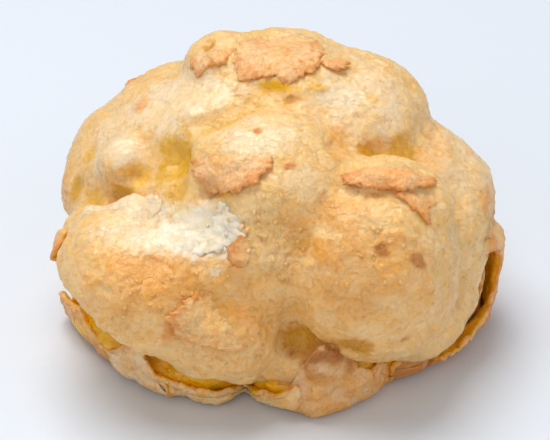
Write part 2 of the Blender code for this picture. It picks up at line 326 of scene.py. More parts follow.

# A stain is a place on the skin with its half sizes in mm, its tint and how strong that is,
# and how crumbly the dough is there.  Some are painted shade: those in the gold, umber and
# amber tints darken the valleys, folds and grooves and the dough under the crusts and the crown.
StainAndShade = namedtuple("StainAndShade", "centre half_sizes tint strength crumb")
USUAL_CRUMB = 0.25  # how crumbly the dough is away from stains
STAIN_AND_SHADE_EDGE = 0.5  # share of its size over which a stain fades out
STAIN_AND_SHADE_WANDER_WIDE, STAIN_AND_SHADE_WANDER_FINE = 0.25, 0.3  # shares by which its outline wanders
STAINS_AND_SHADES = {
    "low_front": StainAndShade((0, -30, 20), (42, 18, 16), "honey", 0.45, 0.35),
    "low_back": StainAndShade((0, 30, 14), (42, 20, 14), "honey", 0.7, 0.35),
    "left_cheek": StainAndShade((-20, -31, 25), (15, 8, 9), "honey", 0.75, 0.5),
    "cheek_shade": StainAndShade((-20, -29.5, 29), (10, 4.5, 4), "honey", 0.7, 0.5),
    "left_cheek_low": StainAndShade((-23, -32, 15), (12, 9, 5), "straw", 0.6, 0.3),
    "right_cheek": StainAndShade((16, -32, 31), (14, 7, 8), "honey", 0.65, 0.4),
    "cheek_middle": StainAndShade((11.5, -34.5, 26), (6, 4, 5), "honey", 0.6, 0.4),
    "right_cheek_low": StainAndShade((18, -33, 20), (14, 8, 6), "straw", 0.3, 0.35),
    "shoulder": StainAndShade((-16, -3, 46), (14, 11, 8), "cream", 0.85, 0.2),
    "shoulder_left": StainAndShade((-27, -3, 38), (8, 9, 7), "cream", 0.5, 0.15),
    "dome": StainAndShade((13, -3, 45), (12, 12, 9), "cream", 0.65, 0.3),
    "dome_white": StainAndShade((10, -6, 48.5), (5, 4, 4), "cream", 0.9, 0.15),
    "centre_low": StainAndShade((3, -23, 41.5), (5, 4, 4), "cream", 0.35, 0.2),
    "flank_top": StainAndShade((27.3, -6, 37.5), (5, 7, 4), "honey", 0.75, 0.3),
    "centre_top": StainAndShade((-3, -16, 46), (9, 7, 5), "cream", 0.6, 0.15),
    "cheek_top": StainAndShade((-21, -23, 33.5), (14, 8, 4.5), "cream", 0.7, 0.2),
    "flank": StainAndShade((31, -4, 34), (9, 14, 9), "cream", 0.45, 0.35),
    "between": StainAndShade((-2, -28, 34), (8, 6, 7), "straw", 0.5, 0.7),
    "ridge": StainAndShade((18, -18, 42), (9, 5, 3), "straw", 0.6, 0.2),
    "under_ridge": StainAndShade((9.5, -27, 38), (6, 5, 4.5), "honey", 0.6, 0.5),
    "torn": StainAndShade((-15, -25.5, 34), (11, 6.5, 6), "white", 0.85, 0.3),
    "torn_end": StainAndShade((-9.5, -28, 33), (4, 4, 4), "white", 0.9, 0.5),
    "torn_spot": StainAndShade((-10.5, -31.5, 29.5), (2.2, 2, 1.4), "white", 0.8, 1.0),
    "chin_face": StainAndShade((-9, -34, 21), (8, 5, 6), "honey", 0.8, 0.5),
    "chin_edge": StainAndShade((-18.6, -33, 21.6), (1.4, 4, 4.5), "toast", 0.9, 0.4),
    "crown_top": StainAndShade((-0.5, 4, 54), (9, 5, 3), "peach", 0.7, 0.3),
    "back_top": StainAndShade((-4, 22, 40), (13, 10, 5), "cream", 0.6, 0.2),
    "back_brown": StainAndShade((14, 30, 24), (10, 7, 7), "peach", 0.7, 0.6),
    "back_brown_left": StainAndShade((-22, 27, 22), (8, 7, 7), "honey", 0.7, 0.5),
    "back_speck": StainAndShade((-20, 30, 28), (2, 2, 2), "burnt", 0.7, 0.4),
    "back_gold": StainAndShade((-2, 32, 24), (4, 7, 10), "gold", 0.7, 0.1),
    "back_white": StainAndShade((10, 30, 34), (7, 6, 4), "cream", 0.7, 0.2),
    "knob": StainAndShade((-26.5, -9.5, 40), (4.5, 4.5, 4), "cream", 0.8, 0.0),
    "scuff": StainAndShade((-24, -0.5, 43.5), (2.8, 2, 1.8), "peach", 0.8, 0.5),
    # Painted shade in the valleys, the hollow under the knob, the folds and the nape's groove,
    # where the skin is pressed in.
    "valley": StainAndShade((-18, -13.5, 40), (5, 6, 5.5), "gold", 0.95, 0.0),
    "valley_foot": StainAndShade((-17, -18.5, 37.5), (3, 3, 4), "gold", 0.8, 0.2),
    "valley_top": StainAndShade((-12, -10.5, 45.3), (7, 3.5, 3), "gold", 0.5, 0.2),
    "valley_end": StainAndShade((-6, -8, 47.3), (5, 2.5, 2), "gold", 0.4, 0.2),
    "hollow": StainAndShade((-23.9, -11.7, 36.4), (4, 3, 2.4), "amber_shade", 0.6, 0.0),
    "fold": StainAndShade((-27.5, -13.6, 32.8), (7, 4, 2.0), "gold", 1.0, 0.0),
    "fold_end": StainAndShade((-31.6, -9.3, 29.5), (3, 4, 2.4), "gold", 0.8, 0.2),
    "dent": StainAndShade((-32.8, -2, 35.3), (1.6, 2.5, 3.6), "gold", 0.7, 0.2),
    "nape": StainAndShade((-35.3, -3.2, 29.5), (1.6, 2, 5), "gold", 0.8, 0.3),
    "nape_edge": StainAndShade((-36.5, 0, 27), (2, 3, 6), "toast", 0.5, 0.5),
    # Painted shade in the crown's notch, under its cap and in thin dashes beside it.
    "notch": StainAndShade((-11.7, 3.6, 51.5), (1.8, 2.5, 1.6), "shade_umber", 0.9, 0.4),
    "under_crown": StainAndShade((-0.7, -5.7, 49.7), (4.2, 2.0, 1.7), "amber_shade", 1.0, 0.0),
    "under_crown_right": StainAndShade((1.2, -7.2, 48.2), (2.6, 1.6, 1.1), "shade_umber", 0.8, 0.6),
    "dash": StainAndShade((6.3, -4.8, 49.2), (2.4, 1, 0.9), "amber_shade", 0.7, 0.5),
    "dash_low": StainAndShade((6.2, -9, 47.4), (2.4, 0.8, 0.7), "amber_shade", 0.6, 0.5),
    "dash_right": StainAndShade((15.6, -5, 47), (1.8, 0.9, 0.8), "amber_shade", 0.5, 0.5),
    "dome_foot": StainAndShade((9.7, -14, 44.6), (3, 5.5, 5), "honey", 0.8, 0.5),
    # Painted shade in the valley beside the right dome.
    "dome_valley": StainAndShade((16.6, -12, 40.8), (6.8, 3, 2.6), "shade_umber", 0.95, 0.1),
    "dome_valley_end": StainAndShade((20.3, -9.2, 39.2), (3.4, 4, 4), "gold", 0.9, 0.3),
    "fleck": StainAndShade((-3.7, -16.8, 47.6), (0.9, 0.8, 0.8), "toast", 0.9, 0.8),
    "fleck_right": StainAndShade((1.6, -22.3, 44.5), (1.7, 0.9, 1), "toast", 0.7, 0.8),
    "fleck_cheek": StainAndShade((-18.6, -26, 33.8), (1.1, 1, 0.7), "toast", 0.7, 0.8),
    "fleck_cheek_low": StainAndShade((-20.6, -28.5, 30.6), (1.7, 1, 1), "toast", 0.6, 0.8),
    "fleck_between": StainAndShade((1, -29.8, 31.5), (0.8, 0.8, 0.8), "burnt", 0.8, 0.9),
    # Painted shade under the centre and right crusts.
    "under_centre_crust": StainAndShade((-12.5, -24.5, 41.4), (6, 3.8, 2.6), "amber_shade", 1.0, 0.0),
    "under_right_crust": StainAndShade((15.3, -24.4, 41.5), (7, 2.5, 1.6), "shade_umber", 1.0, 0.0),
    "groove_top": StainAndShade((3.2, -27.8, 34.5), (3, 4, 4.5), "honey", 0.8, 0.5),
    "cheek_gold": StainAndShade((6.5, -30.6, 33.5), (4, 3, 3), "honey", 0.8, 0.5),
    "speck": StainAndShade((16.5, -32.4, 34.9), (1.6, 1.4, 2.0), "burnt", 0.85, 0.5),
    "speck_right": StainAndShade((22.4, -31.4, 31.9), (2.2, 1.5, 1.8), "burnt", 0.75, 0.5),
    "pore": StainAndShade((20.6, -33, 17.1), (1.0, 1.2, 0.8), "burnt", 0.9, 0.5),
    # Painted shade in the grooves between the cheeks, low down.
    "groove": StainAndShade((3.3, -30.3, 14.5), (4, 5, 5), "shade_umber", 1.0, 0.1),
    "groove_right": StainAndShade((11.5, -34, 16.8), (5, 4, 3.6), "shade_umber", 1.0, 0.1),
    "flank_gold": StainAndShade((30.3, 0, 37.6), (2, 2.4, 2), "gold", 0.6, 0.4),
    "flank_toast": StainAndShade((33.4, -1, 35), (2.4, 2.4, 1.7), "peach", 0.8, 0.5),
    "flank_pink": StainAndShade((35.6, -8, 29.5), (3, 4, 2.4), "peach", 0.7, 0.6),
    # Painted shade low on the flank, in the gap behind the right lips.
    "flank_low": StainAndShade((37, -8, 20), (3, 10, 9), "shade_umber", 0.6, 0.5),
}
# Painted shade: creases are darkened to gold, the more the deeper they lie below the softened
# form.
CREASE_REACH = 60  # rounds of softening that show how far the skin sinks in a crease
CREASE_SHADE_DEPTH = 0.8  # mm, how deep a crease takes its full colour
CREASE_SHADE_STRENGTH = 0.7
WIDE_RELIEF = 0.22  # mm, and the same for those below
FINE_RELIEF = 0.10
CRUMBLY_RELIEF = 0.35  # more fine relief where the dough is crumbly
COMBED_RELIEF = 0.14  # of fibres that run up and down
TORN_RELIEF = 0.9  # of shreds where the dough is crumbly
TORN_LEVEL = 0.3  # where between its shreds torn dough lies


def depth_of_crease(thing):
    """How far each place lies below the general form, in mm."""
    soften = thing.modifiers.new("soften", "SMOOTH")
    soften.factor = 0.5
    soften.iterations = CREASE_REACH
    graph = bpy.context.evaluated_depsgraph_get()
    softened = thing.evaluated_get(graph).data
    places = np.zeros(len(softened.vertices) * 3)
    softened.vertices.foreach_get("co", places)
    thing.modifiers.clear()
    return ((places.reshape(-1, 3) / MM - places_of(thing)) * normals_of(thing)).sum(1)


def blend(colours, tint, shares):
    """Mixes a tint into the colours, each by its own share."""
    colours += (np.array(TINTS[tint]) - colours) * shares[:, None]


def baked_and_shaded(places, wander):
    """The colour of the baked dough at each place, with painted shade in its hollows, and how
    crumbly it is there.
    """
    colours = np.tile(TINTS["straw"], (len(places), 1))
    crumb = np.full(len(places), USUAL_CRUMB)
    for stain_and_shade in STAINS_AND_SHADES.values():
        share = share_of(stain_and_shade, places, wander, STAIN_AND_SHADE_EDGE)
        blend(colours, stain_and_shade.tint, stain_and_shade.strength * share)
        crumb += (stain_and_shade.crumb - crumb) * share
    return colours, crumb


def keep_paint(thing, colours, crumb):
    """Stores the colour and the crumbliness of each vertex, for the material to read."""
    opaque = np.column_stack((colours, np.ones(len(colours))))
    layer = thing.data.color_attributes.new("paint", "FLOAT_COLOR", "POINT")
    layer.data.foreach_set("color", opaque.ravel().astype(np.float32))
    layer = thing.data.attributes.new("crumb", "FLOAT", "POINT")
    layer.data.foreach_set("value", crumb.astype(np.float32))


crease_shade = smooth_step(depth_of_crease(bun) / CREASE_SHADE_DEPTH)
places = places_of(bun)
normals = normals_of(bun)
wander_fine = waves(places, 0.9, 4, (11, 2, 5))
combed = waves(places * (1.0, 1.0, 0.25), 1.1, 3, (8, 8, 2))
wander = STAIN_AND_SHADE_WANDER_WIDE * wander_wide + STAIN_AND_SHADE_WANDER_FINE * wander_fine
colours, crumb = baked_and_shaded(places, wander)
# Painted shade in the creases, in gold.
blend(colours, "gold", CREASE_SHADE_STRENGTH * crease_shade)
torn = waves(places * (0.45, 0.8, 1.0), 0.8, 5, (4, 9, 9))
lift = WIDE_RELIEF * wander_wide + (FINE_RELIEF + CRUMBLY_RELIEF * crumb) * wander_fine
lift += COMBED_RELIEF * combed
lift += TORN_RELIEF * crumb * crumb * (TORN_LEVEL - np.abs(torn))
move_to(bun, places + normals * (lift * off_floor)[:, None])
bun.data.shade_smooth()
keep_paint(bun, colours, crumb)
skin = BVHTree.FromObject(bun, bpy.context.evaluated_depsgraph_get())


class Wire:
    """A socket in a material.  Sums on wires add the material's Math nodes."""

    def __init__(self, tree, socket=None):
        self.tree, self.socket = tree, socket

    def add(self, kind, settings=None, sockets=None, output=0):
        """Adds a node: first its settings, then the values or wires of its sockets."""
        node = self.tree.nodes.new("ShaderNode" + kind)
        for key, value in (settings or {}).items():
            setattr(node, key, value)
        for key, value in (sockets or {}).items():
            if isinstance(value, Wire):
                self.tree.links.new(value.socket, node.inputs[key])
            else:
                node.inputs[key].default_value = value
        return Wire(self.tree, node.outputs[output] if node.outputs else None)

    def maths(self, operation, first, second):
        return self.add("Math", {"operation": operation}, {0: first, 1: second})

    def __add__(self, other):
        return self.maths("ADD", self, other)

    def __sub__(self, other):
        return self.maths("SUBTRACT", self, other)

    def __rsub__(self, other):
        return self.maths("SUBTRACT", other, self)

    def __mul__(self, other):
        return self.maths("MULTIPLY", self, other)

    __radd__ = __add__
    __rmul__ = __mul__

    def rises(self, low, high):
        """From 0 where this wire is below low to 1 where it is above high."""
        return self.add("MapRange", {"interpolation_type": "SMOOTHSTEP"},
                        {"Value": self, "From Min": low, "From Max": high})

    def noise(self, per_mm, detail, roughness=0.5, output="Fac"):
        """Noise that reads this wire as places in metres."""
        sockets = {"Vector": self, "Scale": per_mm / MM, "Detail": detail, "Roughness": roughness}
        return self.add("TexNoise", {}, sockets, output)

    def ridges(self, width):
        """Thin crooked lines where this wire passes through one half."""
        return self.add("Math", {"operation": "ABSOLUTE"}, {0: self - 0.5}).rises(width, 0.0)

    def tinted(self, factor, colour, how="MIX"):
        """This wire's colour, mixed with another."""
        sockets = {0: factor, 6: self, 7: (*colour, 1)}
        return self.add("Mix", {"data_type": "RGBA", "blend_type": how}, sockets, 2)

    def browned(self, factor, colour):
        """This wire's colour, darkened by another."""
        return self.tinted(factor, colour, "MULTIPLY")


def dough_finish(name, glow):
    """Baked choux: satin where its skin is whole, matt where it is crumbly, and mottled,
    streaked and specked at a scale finer than its mesh.  Light spreads inside it as far as
    its glow, in metres."""
    material = bpy.data.materials.new(name)
    material.use_nodes = True
    tree = material.node_tree
    tree.nodes.clear()
    start = Wire(tree)
    here = start.add("TexCoord", output="Object")
    paint = start.add("Attribute", {"attribute_name": "paint"}, output="Color")
    crumb = start.add("Attribute", {"attribute_name": "crumb"}, output="Fac")
    drift = here.noise(0.3, 2, output="Color")
    swirled = start.add("VectorMath", {"operation": "MULTIPLY_ADD"},
                        {0: drift, 1: (5 * MM, 5 * MM, 5 * MM), 2: here})
    along_fibres = start.add("Mapping", {}, {"Vector": swirled, "Scale": (0.5, 1, 1)})
    elsewhere = start.add("Mapping", {}, {"Vector": along_fibres, "Location": (0.3, 0.1, 0.2)})

    # What the skin carries, from the widest to the finest.
    patch = swirled.noise(0.22, 4, 0.5)
    blush = elsewhere.noise(0.3, 4, 0.5)
    streak = along_fibres.noise(0.8, 4, 0.5)
    mottle = here.noise(1.4, 4, 0.5)
    grain = here.noise(3.5, 3, 0.6)
    wisp = along_fibres.noise(0.45, 5, 0.6).ridges(0.012)
    crack = swirled.noise(0.4, 5, 0.6).ridges(0.012)

    # Torn white dough is plain, and the painted amber shade, which holds no blue, takes no pale
    # marks.
    blueness = start.add("SeparateColor", {}, {"Color": paint}, output="Blue")
    whiteness = blueness.rises(0.3, 0.8)
    pale = blueness.rises(0.0, 0.2)
    lively = (0.4 + 1.6 * crumb).rises(0.0, 1.0) * (1 - 0.6 * whiteness)
    crack = crack * lively * streak.rises(0.46, 0.56)

    browned = lively * patch.rises(0.40, 0.64)
    streaked = lively * streak.rises(0.48, 0.66)
    tanned = lively * (mottle + 0.12 * crumb).rises(0.54, 0.70)
    specked = lively * (grain + 0.10 * crumb).rises(0.70, 0.76)
    colour = paint.browned(browned * 0.7, (0.99, 0.88, 0.55))
    colour = colour.tinted(pale * lively * blush.rises(0.48, 0.68) * 0.3, (1.0, 0.74, 0.40))
    colour = colour.browned(streaked * 0.45, (0.98, 0.84, 0.56))
    colour = colour.browned(tanned * (0.10 + 0.25 * crumb), (0.95, 0.76, 0.46))
    colour = colour.tinted(pale * wisp * mottle.rises(0.44, 0.56) * 0.5, (1.0, 0.91, 0.72))
    colour = colour.browned(specked * 0.5, (0.88, 0.62, 0.36))
    colour = colour.browned(crack * 0.5, (0.90, 0.64, 0.32))

    relief = 0.28 * streak + (0.10 + 0.35 * crumb) * mottle + (0.02 + 0.08 * crumb) * grain
    relief = (relief + 0.06 * wisp - 0.05 * crack) * (1 - 0.5 * whiteness)
    bump = start.add("Bump", {}, {"Height": relief, "Strength": 1.0, "Distance": 0.9 * MM})
    roughness = 0.22 + 0.30 * crumb + 0.2 * (mottle - 0.5)
    shader = start.add("BsdfPrincipled", {}, {
        "Base Color": colour, "Roughness": roughness, "Normal": bump,
        "Subsurface Weight": 0.4, "Subsurface Scale": glow,
        "Subsurface Radius": (1.0, 0.7, 0.4), "IOR": 1.45,
    })
    start.add("OutputMaterial", {}, {"Surface": shader})
    return material


dough = dough_finish("dough", 2.5 * MM)
bun.data.materials.append(dough)
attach(bun, "root")
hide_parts("choux_bun")


# --- The torn foot ----------------------------------------------------------------------------
# Round the foot the dough stuck to its sheet and tore into thin stiff lips that stand up
# round the bun.  Each grows from a root that runs in under the bun, with its inner face
# painted amber as the shade between it and the bun.
Lip = namedtuple("Lip", "bearings reaches heights lean hover tint")
HOVER = 1.4  # mm between the floor and the outer part of a lip
LIPS = {
    # from which bearing to which, in degrees round the foot with 0 at the front, how far out
    # and how high it stands along its length, how far its edge leans out, its hover, and its
    # tint; a web is a wall of dough that leans in behind a lip, painted amber all over as the
    # shade of the gap
    "left": Lip((-95, -61), (36.8, 36.2, 35.1, 34.1, 33.2, 32.3, 31.3, 30.3, 29.6),
                (4.5, 5.5, 6.3, 6.4, 5.6, 4.4, 3.4, 3.0, 3.0), 1.0, HOVER, "honey"),
    "front_left_flap": Lip((-65, -38), (30.2, 30.6, 30.8, 30.7, 30.4, 30.1, 29.8, 29.5, 28.9),
                           (3.4, 4.6, 6.2, 7.6, 8.4, 8.4, 6.5, 4.2, 3.2), 0.8, HOVER, "rusk"),
    "front_left": Lip((-50, -14), (29.2, 29.0, 28.9, 28.4, 27.8, 28.1, 27.6, 26.8, 24.0, 21.2),
                      (4.6, 4.6, 4.4, 3.9, 3.2, 3.5, 3.1, 3.0, 2.4, 1.6), 1.5, HOVER, "straw"),
    "front_low": Lip((-14, 10), (21.2, 22.4, 24.1, 25.3, 26.4, 27.3, 27.2),
                     (1.6, 1.9, 2.6, 3.0, 4.2, 5.4, 6.5), 0.8, HOVER, "straw"),
    "front_low_inner": Lip((-10, 12), (19.5, 21.8, 23.6, 24.8, 25.4), (3, 3.6, 4.6, 5.6, 6.6),
                           0.8, HOVER, "honey"),
    "front_tall": Lip((5, 50), (26.4, 26.8, 28.0, 29.5, 29.5, 29.1, 28.8, 28.6, 28.5, 28.4,
                       28.3, 27.8, 27.4, 27.1, 26.9, 26.8),
                      (7.5, 9.2, 11, 15.2, 15.6, 14.8, 12.4, 10.2, 8.6, 7.6, 6.6, 6.4,
                       6.2, 5.6, 4.6, 3.5), 0, 0.8, "biscuit"),
    "front_right": Lip((46, 64), (27.2, 27.6, 28.2, 28.6, 29.0, 29.2, 28.8),
                       (4.4, 5, 4.8, 4.5, 4, 3.3, 2.3), 0.8, HOVER, "brown"),
    "corner": Lip((60, 76), (28.0, 28.6, 30.2, 31.8), (2, 2.6, 2.8, 3.4), 0.6, HOVER, "toast"),
    "right_outer": Lip((64, 116), (29.6, 31.2, 33.2, 35.0, 36.4, 37.2, 37.4, 37.2, 36.2, 34.6),
                       (1.8, 2.2, 3.6, 5.6, 8.5, 11.5, 14, 15, 12, 5), 2.4, HOVER, "toast"),
    "right_middle": Lip((64, 108), (28.6, 30.2, 32.0, 33.4, 34.6, 35.2, 35.2, 34.0),
                        (3.0, 4.2, 5.4, 7.4, 10, 12, 11, 6), 1.8, HOVER, "straw"),
    "right_inner": Lip((58, 92), (27.4, 28.8, 30.4, 31.8, 32.8), (3.4, 4.4, 5.4, 6, 6), 1.0,
                       HOVER, "straw"),
    "back_right": Lip((114, 152), (34, 34, 32, 31), (4, 8, 9, 4), 2.0, HOVER, "honey"),
    "back": Lip((148, 190), (31, 31.5, 32, 32), (4, 6, 8, 4), 2.0, HOVER, "straw"),
    "back_left": Lip((186, 226), (32, 33, 33, 33), (4, 9, 10, 5), 3.0, HOVER, "peach"),
    "left_back": Lip((222, 266), (33, 34, 34.4, 34.4, 34.0), (4, 7, 7, 6, 4.5), 2.0, HOVER,
                     "straw"),
    "left_shade_web": Lip((-92, -62), (35.4, 34.8, 33.6, 32.2, 30.8, 29.4), (3, 5.5, 8, 9, 9, 7),
                    -4.0, 1.6, "amber_shade"),
    "front_left_shade_web": Lip((-64, -14), (29.4, 29.4, 28.6, 28.0, 27.4, 27.2, 26.4, 23.4, 20.4),
                          (7.5, 8.5), -4.5, 1.6, "amber_shade"),
    "front_tall_shade_web": Lip((8, 62), (25.5, 28.2, 28.0, 27.6, 27.2, 26.8, 26.8, 27.4, 28),
                          (11, 12, 10.5, 9, 8, 7), -3.0, 1.6, "amber_shade"),
    "front_low_shade_web": Lip((-12, 12), (20.4, 22.8, 24.4, 25.4, 25.8), (6, 8), -3.5, 1.6, "amber_shade"),
    "right_shade_web": Lip((66, 114), (27.6, 29.4, 31.4, 33.0, 34.0, 34.4, 34.0, 32.8),
                     (6, 9, 13, 15, 13), -2.5, 1.6, "amber_shade"),
}
crust = dough_finish("crust", 0.3 * MM)
RIM_CENTRE = np.array((-1.0, -4.0, 0.0))
LIP_STEP = 0.32  # mm between the points of a lip
LIP_ROOT = 8.0  # mm, how far a lip runs in under the bun
LIP_ROUNDING = 3.0  # mm, radius where a lip turns up from the underside
LIP_UPRIGHT = 0.4  # share of its height that always stands upright above the turn
ROOT_END = 0.25  # share of its spread where the root ends and the turn starts
TURN_END = 0.5  # and where the upright wall starts
LIP_END = 0.10  # share of a lip over which its ends are rounded
LIP_TIP = 0.02  # share of a lip over which its ends thin out
LIP_END_HEIGHT = 0.3  # share of its height that is left at its ends
LIP_LOWEST = 1.5  # mm
LIP_LEAN_CURVE = 1.3  # over 1, a lip leans out more toward its edge
RAGGED_WIDE, RAGGED_FINE = 1.0, 0.5  # mm, how ragged its torn edge is
LIP_WANDER = 0.9  # mm, how far a lip wanders in and out
LIP_RELIEF_WIDE, LIP_RELIEF_FINE = 0.25, 0.2  # mm
LIP_FOOT_THICKNESS = 1.7  # mm
LIP_EDGE_THICKNESS = 1.0  # mm
LIP_EDGE_ROUNDING = 0.07  # share of its spread over which an edge is rounded
SLIVER = 0.06  # share of its thickness left at the very edge
PROBE = 0.004  # share of a thin piece either way, over which its slope is measured


def profile(values, along):
    """The value at a share along a row of evenly spaced ones."""
    return np.interp(along, np.linspace(0, 1, len(values)), values)


def near_edge(share, rounding):
    """How thick a piece is near its edge, from 0 at the edge to 1 inside, as a half round."""
    inside = np.clip(share / rounding, 0, 1)
    return np.maximum(np.sqrt(1 - (1 - inside) ** 2), SLIVER)


def lip_middle(lip, along, across):
    """The middle of a lip's thickness in mm, with along round the foot, and across from 0
    at its root under the bun to 1 at its torn edge."""
    bearing = np.radians(lip.bearings[0] + along * (lip.bearings[1] - lip.bearings[0]))
    ring = np.column_stack((np.sin(bearing), -np.cos(bearing), 0 * bearing))
    reach = profile(lip.reaches, along)
    edge = ring * reach[:, None]
    ragged = RAGGED_WIDE * waves(edge, 0.28, 3, (lip.bearings[0], 0, 0))
    ragged += RAGGED_FINE * waves(edge, 1.1, 3, (5, 5, 5))
    rounded = near_edge(np.minimum(along, 1 - along), LIP_END)
    kept = LIP_END_HEIGHT + (1 - LIP_END_HEIGHT) * rounded
    height = np.maximum(profile(lip.heights, along) * kept, LIP_LOWEST)
    turn = np.minimum(LIP_ROUNDING, (1 - LIP_UPRIGHT) * height)
    angle = np.radians(90) * np.clip((across - ROOT_END) / (TURN_END - ROOT_END), 0, 1)
    above = np.clip((across - TURN_END) / (1 - TURN_END), 0, 1)
    root = LIP_ROOT * np.clip(1 - across / ROOT_END, 0, 1)
    out = reach - root - turn * (1 - np.sin(angle)) + lip.lean * above ** LIP_LEAN_CURVE
    up = turn * (1 - np.cos(angle)) + (height - turn) * above
    up += lip.hover * smooth_step(across / ROOT_END) + ragged * above ** 3
    raised = np.column_stack((0 * up, 0 * up, up))
    wander = waves(ring * out[:, None] + raised, 0.16, 2, (9, 1, 4))
    out = out + LIP_WANDER * wander * smooth_step(2 * across)
    return RIM_CENTRE + ring * out[:, None] + raised


def thin_piece(name, columns, rows, middle_of, thickness_of):
    """A thin closed piece: a block one cell thick, bent over a middle surface.  It comes with
    where each vertex lies along, across and through the block."""
    mesh = bmesh.new()
    bmesh.ops.create_grid(mesh, x_segments=columns, y_segments=rows, size=0.5)
    bmesh.ops.solidify(mesh, geom=mesh.faces[:], thickness=1.0)
    block = np.array([vertex.co for vertex in mesh.verts])
    side = block[:, 2] - block[:, 2].mean()
    side = side / np.abs(side).max()
    along, across = block[:, 0] + 0.5, block[:, 1] + 0.5
    middle = middle_of(along, across)
    before, after = np.maximum(along - PROBE, 0), np.minimum(along + PROBE, 1)
    below, above = np.maximum(across - PROBE, 0), np.minimum(across + PROBE, 1)
    east = middle_of(after, across) - middle_of(before, across)
    north = middle_of(along, above) - middle_of(along, below)
    facing = np.cross(east, north)
    facing /= np.linalg.norm(facing, axis=1)[:, None] + 1e-9
    places = middle + facing * (side * thickness_of(along, across) / 2)[:, None]
    for vertex, place in zip(mesh.verts, places):
        vertex.co = Vector(place) * MM
    bmesh.ops.recalc_face_normals(mesh, faces=mesh.faces)
    return as_object(mesh, name), along, across, side


for name, lip in LIPS.items():
    def middle_of(along, across, lip=lip):
        return lip_middle(lip, along, across)

    def thickness_of(along, across):
        body = LIP_FOOT_THICKNESS + (LIP_EDGE_THICKNESS - LIP_FOOT_THICKNESS) * across
        ends = near_edge(np.minimum(along, 1 - along), LIP_TIP)
        return body * ends * near_edge(1 - across, LIP_EDGE_ROUNDING)

    length = math.radians(lip.bearings[1] - lip.bearings[0]) * max(lip.reaches)
    columns = int(length / LIP_STEP)
    rows = int((max(lip.heights) + LIP_ROOT) / LIP_STEP)
    piece, along, across, side = thin_piece("lip_" + name, columns, rows, middle_of, thickness_of)
    places = places_of(piece)
    normals = normals_of(piece)
    wander_wide = waves(places, 0.3, 3, (6, 1, 3))
    wander_fine = waves(places, 0.9, 4, (2, 8, 4))
    height = (across - TURN_END) / (1 - TURN_END)

    # Browned in patches and toward the torn edge, which is pale itself, and painted amber
    # shade on its inner face.
    colours = np.tile(TINTS[lip.tint], (len(places), 1))
    blend(colours, "honey", smooth_step(0.2 + 1.4 * wander_wide) * 0.5)
    blend(colours, "cream", smooth_step(0.1 - 1.6 * wander_wide) * 0.25)
    blend(colours, "toast", smooth_step((height - 0.75 + 0.3 * wander_wide) / 0.2) * 0.35)
    if name == "front_tall":  # its top is nearly burnt
        blend(colours, "burnt", smooth_step((places[:, 2] - 8 + 3 * wander_wide) / 6) * 0.9)
    blend(colours, "straw", smooth_step((height - 0.93 + 0.1 * wander_fine) / 0.07) * 0.7)
    # Painted shade: the inner face, which looks onto the bun, is amber up to near the edge.
    inside = smooth_step(-side) * smooth_step((1 - height) / 0.1)
    blend(colours, "amber_shade", inside)
    crumb = np.clip(0.35 + 0.5 * wander_wide, 0, 1)
    # A web is painted amber shade all over.
    if lip.tint == "amber_shade":  # a web is smooth and amber all over
        blend(colours, "amber_shade", 0.9 + 0.3 * wander_wide)
        crumb *= 0
    keep_paint(piece, colours, crumb)
    relief = LIP_RELIEF_FINE * wander_fine + LIP_RELIEF_WIDE * wander_wide
    places += normals * relief[:, None]
    places[:, 2] = np.maximum(places[:, 2], 0)
    move_to(piece, places)
    piece.data.shade_smooth()
    piece.data.materials.append(crust)
    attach(piece, "root")


